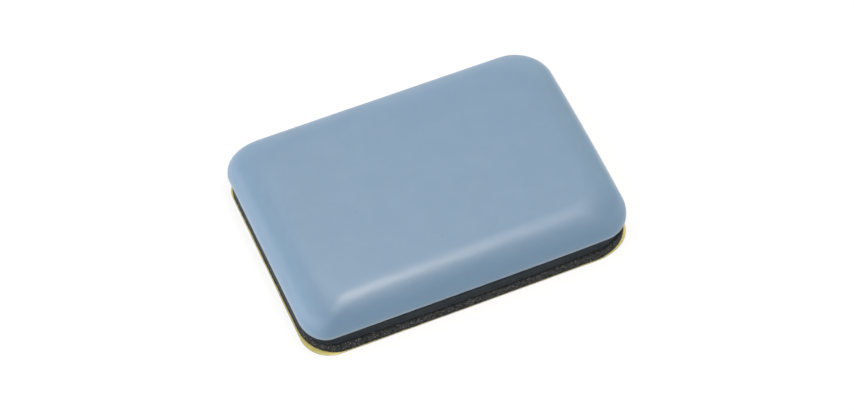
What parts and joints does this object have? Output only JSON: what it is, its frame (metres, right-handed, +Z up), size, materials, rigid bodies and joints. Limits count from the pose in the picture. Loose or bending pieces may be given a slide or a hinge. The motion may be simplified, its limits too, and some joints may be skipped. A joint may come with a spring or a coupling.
{
  "type": "furniture slider",
  "caption": "Rectangular self-adhesive furniture slider: a rolled-edge low-friction cap on a rubber core and a foam pad with a peel-off paper liner.",
  "frame": {"origin": "centre of the release liner's underside, where the slider lies on a table before it is fitted", "axes": "+Z up out of the sliding face, +X along the long side, +Y along the short side"},
  "size_m": [0.036, 0.0252, 0.0063],
  "materials": {
    "liner_paper": "yellow silicone-coated release paper, slight sheen",
    "adhesive": "thin tacky acrylic film",
    "foam": "cut closed-cell foam, matte, open cells on the cut sides",
    "core_rubber": "smooth moulded rubber, dull satin",
    "cap_plastic": "blue-grey waxy fluoropolymer, satin with a broad soft highlight"
  },
  "bodies": {
    "liner": {"release_liner": "liner_paper"},
    "base": {"mounting_adhesive": "adhesive", "foam_pad": "foam"},
    "head": {"core_adhesive": "adhesive", "rubber_core": "core_rubber", "cap_adhesive": "adhesive", "slide_cap": "cap_plastic"}
  },
  "joints": [
    {"name": "liner_release", "type": "slide", "parent": "liner", "child": "base", "axis": [0, 0, 1], "range_m": [0, 0.03]},
    {"name": "cushion_squeeze", "type": "slide", "parent": "base", "child": "head", "axis": [0, 0, -1], "range_m": [0, 0.0004], "stiffness_N_per_m": 150000, "deforming": ["foam_pad"]}
  ]
}
